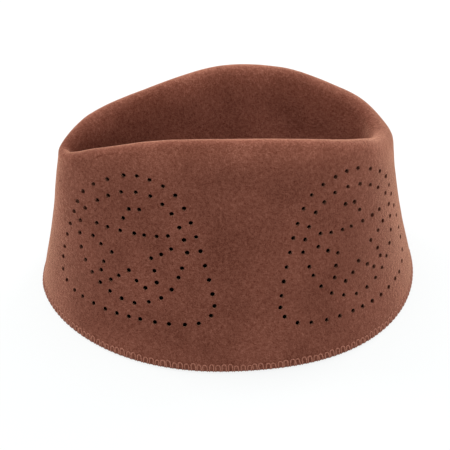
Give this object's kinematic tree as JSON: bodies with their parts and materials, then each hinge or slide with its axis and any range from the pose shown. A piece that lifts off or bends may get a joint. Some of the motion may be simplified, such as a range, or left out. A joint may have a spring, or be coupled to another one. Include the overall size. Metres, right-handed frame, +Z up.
{
  "type": "felt cap",
  "caption": "Brimless blocked wool felt cap with a teardrop ridge, a long crown hollow and mirrored leaf motifs of punched holes.",
  "frame": {"origin": "middle of the oval that the hem rests on", "axes": "+X towards the wearer's back, -X towards the wearer's front and the narrow end of the crown, +Z up"},
  "size_m": [0.21, 0.18, 0.1141],
  "materials": {
    "wool_felt": "matte brushed wool felt, rust brown",
    "hem_thread": "matte twisted thread, rust brown"
  },
  "bodies": {
    "root": {"felt_cap": "wool_felt"}
  },
  "joints": []
}
